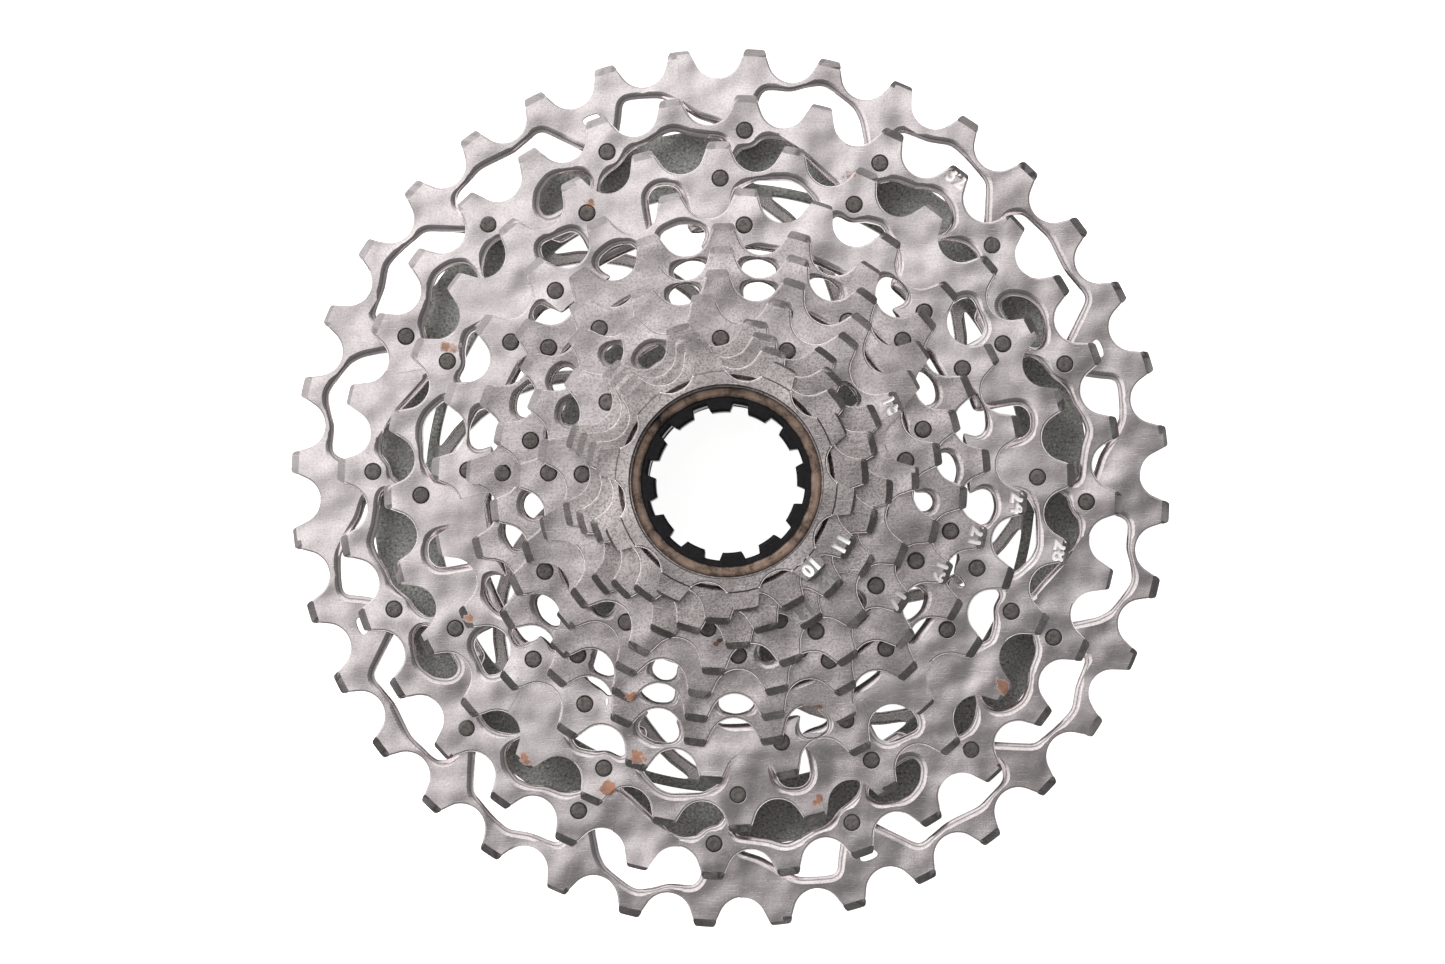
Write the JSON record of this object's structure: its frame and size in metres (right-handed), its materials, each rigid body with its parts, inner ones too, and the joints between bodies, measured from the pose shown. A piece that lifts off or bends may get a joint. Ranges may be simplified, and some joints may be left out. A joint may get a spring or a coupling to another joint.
{
  "type": "bicycle cassette",
  "caption": "Cone of toothed bicycle cogs riveted into one unit on a splined alloy carrier, with a captive notched lock sleeve in the middle.",
  "frame": {"origin": "centre of the carrier's back face, on the cassette's axis", "axes": "+Z along the axis from the wheel side to the smallest cog; +Y towards the top as the cassette is seen from the front"},
  "size_m": [0.1478, 0.1478, 0.0444],
  "materials": {
    "cog_steel": "nickel-plated stamped steel, tumbled, lightly worn",
    "cluster_steel": "machined steel, nickel-plated, darker",
    "pin_steel": "dull riveted steel",
    "blasted_alloy": "matte blasted and anodised",
    "black_alloy": "black anodised, worn to bronze on the flange",
    "spring_steel": "dark spring steel"
  },
  "bodies": {
    "cog_stack": {"cog_36": "cog_steel", "cog_32": "cog_steel", "cog_28": "cog_steel", "cog_24": "cog_steel", "cog_21": "cog_steel", "cog_19": "cog_steel", "cog_17": "cog_steel", "cog_15": "cog_steel", "small_cog_cluster": "cluster_steel", "rear_carrier": "blasted_alloy", "pin_32_01": "pin_steel", "pin_32_02": "pin_steel", "pin_32_03": "pin_steel", "pin_32_04": "pin_steel", "pin_32_05": "pin_steel", "pin_32_06": "pin_steel", "pin_32_07": "pin_steel", "pin_32_08": "pin_steel", "pin_32_09": "pin_steel", "pin_32_10": "pin_steel", "pin_32_11": "pin_steel", "pin_32_12": "pin_steel", "pin_32_13": "pin_steel", "pin_32_14": "pin_steel", "pin_32_15": "pin_steel", "pin_32_16": "pin_steel", "pin_28_01": "pin_steel", "pin_28_02": "pin_steel", "pin_28_03": "pin_steel", "pin_28_04": "pin_steel", "pin_28_05": "pin_steel", "pin_28_06": "pin_steel", "pin_28_07": "pin_steel", "pin_28_08": "pin_steel", "pin_28_09": "pin_steel", "pin_28_10": "pin_steel", "pin_28_11": "pin_steel", "pin_28_12": "pin_steel", "pin_24_01": "pin_steel", "pin_24_02": "pin_steel", "pin_24_03": "pin_steel", "pin_24_04": "pin_steel", "pin_24_05": "pin_steel", "pin_24_06": "pin_steel", "pin_24_07": "pin_steel", "pin_24_08": "pin_steel", "pin_24_09": "pin_steel", "pin_24_10": "pin_steel", "pin_24_11": "pin_steel", "pin_24_12": "pin_steel"},
    "lock_sleeve": {"lock_sleeve": "black_alloy", "sleeve_snap_ring": "spring_steel"}
  },
  "joints": [
    {"name": "sleeve_turn", "type": "hinge", "parent": "cog_stack", "child": "lock_sleeve", "pos_m": [0, 0, 0], "axis": [0, 0, 1], "continuous": true}
  ]
}
